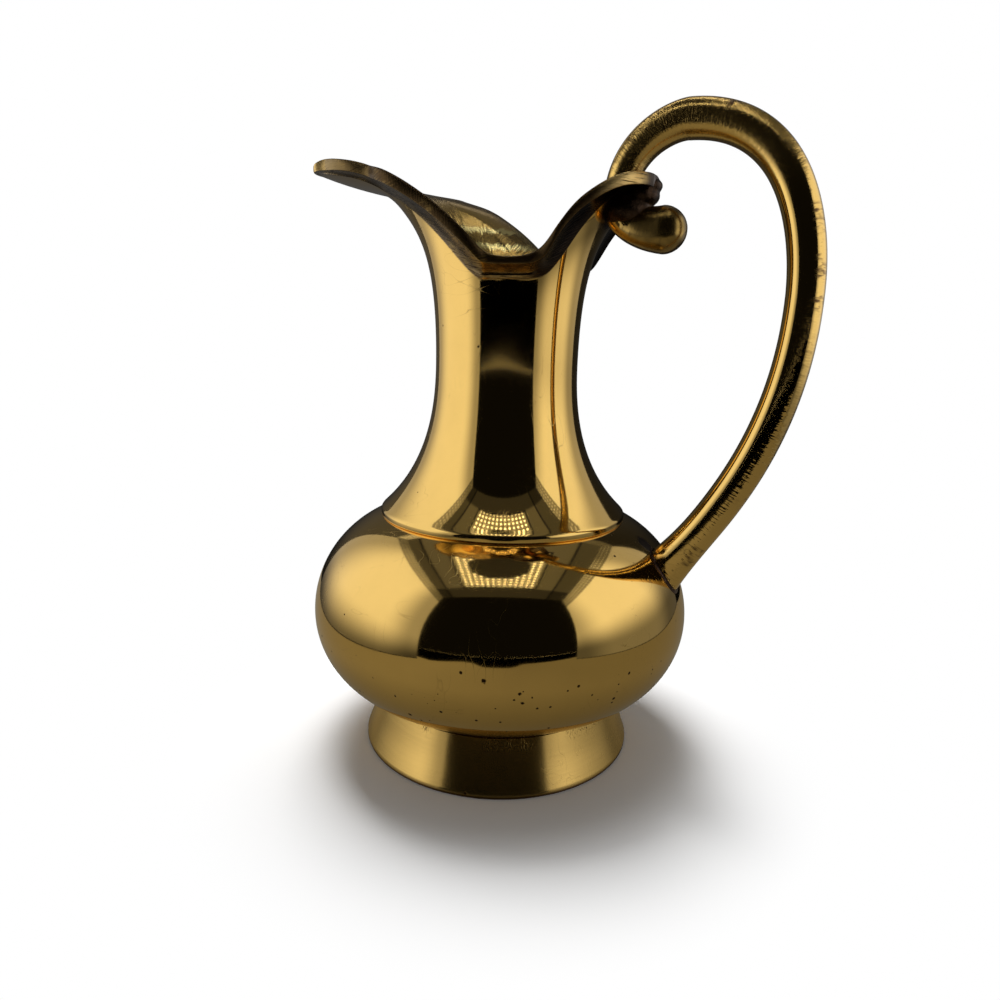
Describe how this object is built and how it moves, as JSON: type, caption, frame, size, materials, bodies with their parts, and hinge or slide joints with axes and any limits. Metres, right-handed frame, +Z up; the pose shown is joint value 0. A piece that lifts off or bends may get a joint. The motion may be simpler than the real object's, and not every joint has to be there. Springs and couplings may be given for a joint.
{
  "type": "pitcher",
  "caption": "Small footed brass pitcher with a round bowl, waisted neck, flared mouth cut to a pouring spout, and a tall scroll handle.",
  "frame": {"origin": "on the plane the foot stands on, midway between the spout's tip and the back of the handle; the axis shared by foot, bowl and neck stands 8.7 mm from it towards the spout", "axes": "+Z up, -X towards the spout, +X towards the handle, XZ the plane of symmetry"},
  "size_m": [0.1206, 0.093, 0.1509],
  "materials": {
    "foot_brass": "polished brass with fine scratches",
    "bowl_brass": "polished brass with small casting pits",
    "neck_brass": "polished brass, tarnished at the cut edge",
    "handle_brass": "polished brass with file ripples",
    "braze_metal": "dull brazing brass",
    "solder_metal": "dull grey solder"
  },
  "bodies": {
    "root": {"foot_ring": "foot_brass", "foot_braze": "braze_metal", "body_bowl": "bowl_brass", "neck_braze": "braze_metal", "neck": "neck_brass", "handle": "handle_brass", "handle_top_solder": "solder_metal", "handle_root_solder": "solder_metal"}
  },
  "joints": []
}
